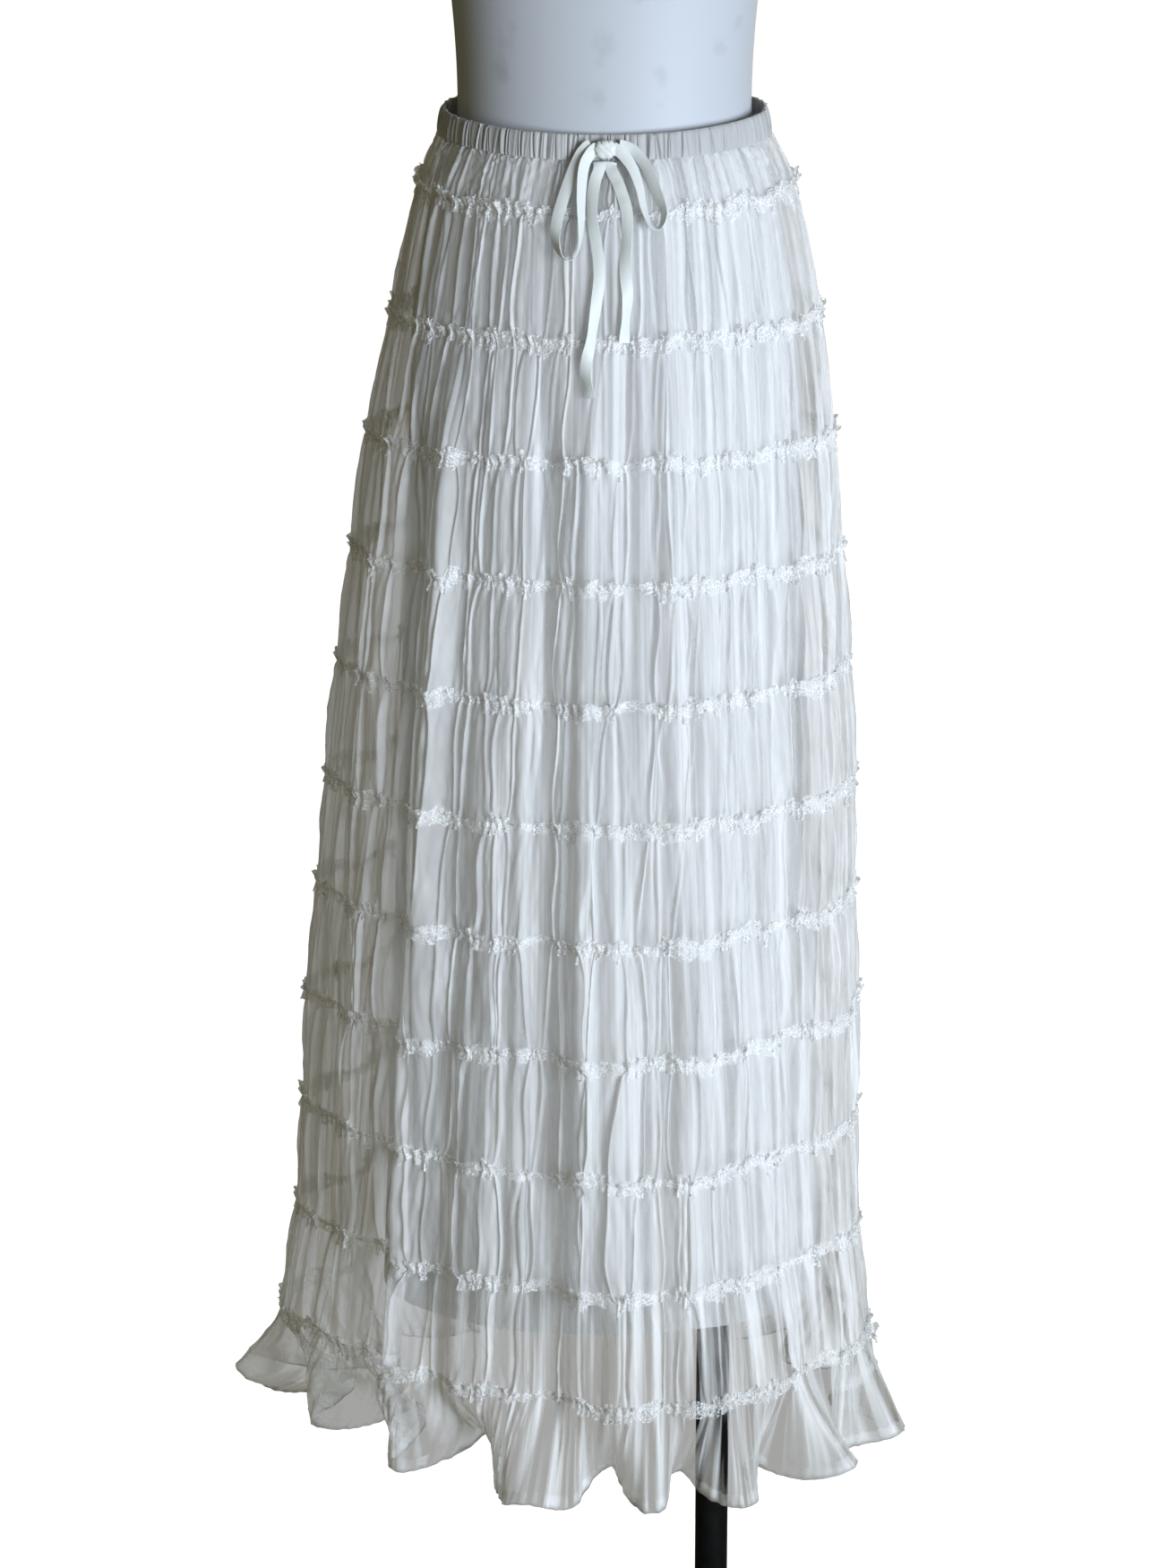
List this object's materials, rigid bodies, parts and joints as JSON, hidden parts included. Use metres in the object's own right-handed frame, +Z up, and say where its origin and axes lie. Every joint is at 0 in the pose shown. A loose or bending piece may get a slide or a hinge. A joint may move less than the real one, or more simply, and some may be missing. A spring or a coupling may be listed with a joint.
{
  "type": "tiered gathered chiffon skirt on a limbless dress form and stand",
  "caption": "Long A-line skirt of gathered chiffon tiers with frilled seams, a ribbon bow and a fluted hem, on a limbless dress form with a round-based pole stand.",
  "frame": {"origin": "centre of the round base's underside, on the pole's axis", "axes": "+Z up, -Y to the front of the skirt, +X to the right of someone who looks at its front"},
  "size_m": [0.5781, 0.4105, 1.82],
  "materials": {
    "chiffon": "sheer white crepe chiffon with a dry, faintly bright surface",
    "lining": "plain opaque white lining, matt",
    "satin": "white satin ribbon with a soft gloss and fine woven edges",
    "form_shell": "smooth white matt shell",
    "black_steel": "black powder coat, satin"
  },
  "bodies": {
    "root": {"waistband": "chiffon", "yoke": "chiffon", "tier_01": "chiffon", "tier_02": "chiffon", "tier_03": "chiffon", "tier_04": "chiffon", "tier_05": "chiffon", "tier_06": "chiffon", "tier_07": "chiffon", "tier_08": "chiffon", "tier_09": "chiffon", "tier_10": "chiffon", "hem_flounce": "chiffon", "frill_01": "chiffon", "frill_02": "chiffon", "frill_03": "chiffon", "frill_04": "chiffon", "frill_05": "chiffon", "frill_06": "chiffon", "frill_07": "chiffon", "frill_08": "chiffon", "frill_09": "chiffon", "frill_10": "chiffon", "frill_11": "chiffon", "lining": "lining", "bow_knot": "satin", "bow_loop_left": "satin", "bow_loop_right": "satin", "bow_tail_left": "satin", "bow_tail_right": "satin", "dress_form": "form_shell", "stand_pole": "black_steel", "stand_collar": "black_steel", "stand_hub": "black_steel", "stand_base": "black_steel"}
  },
  "joints": []
}
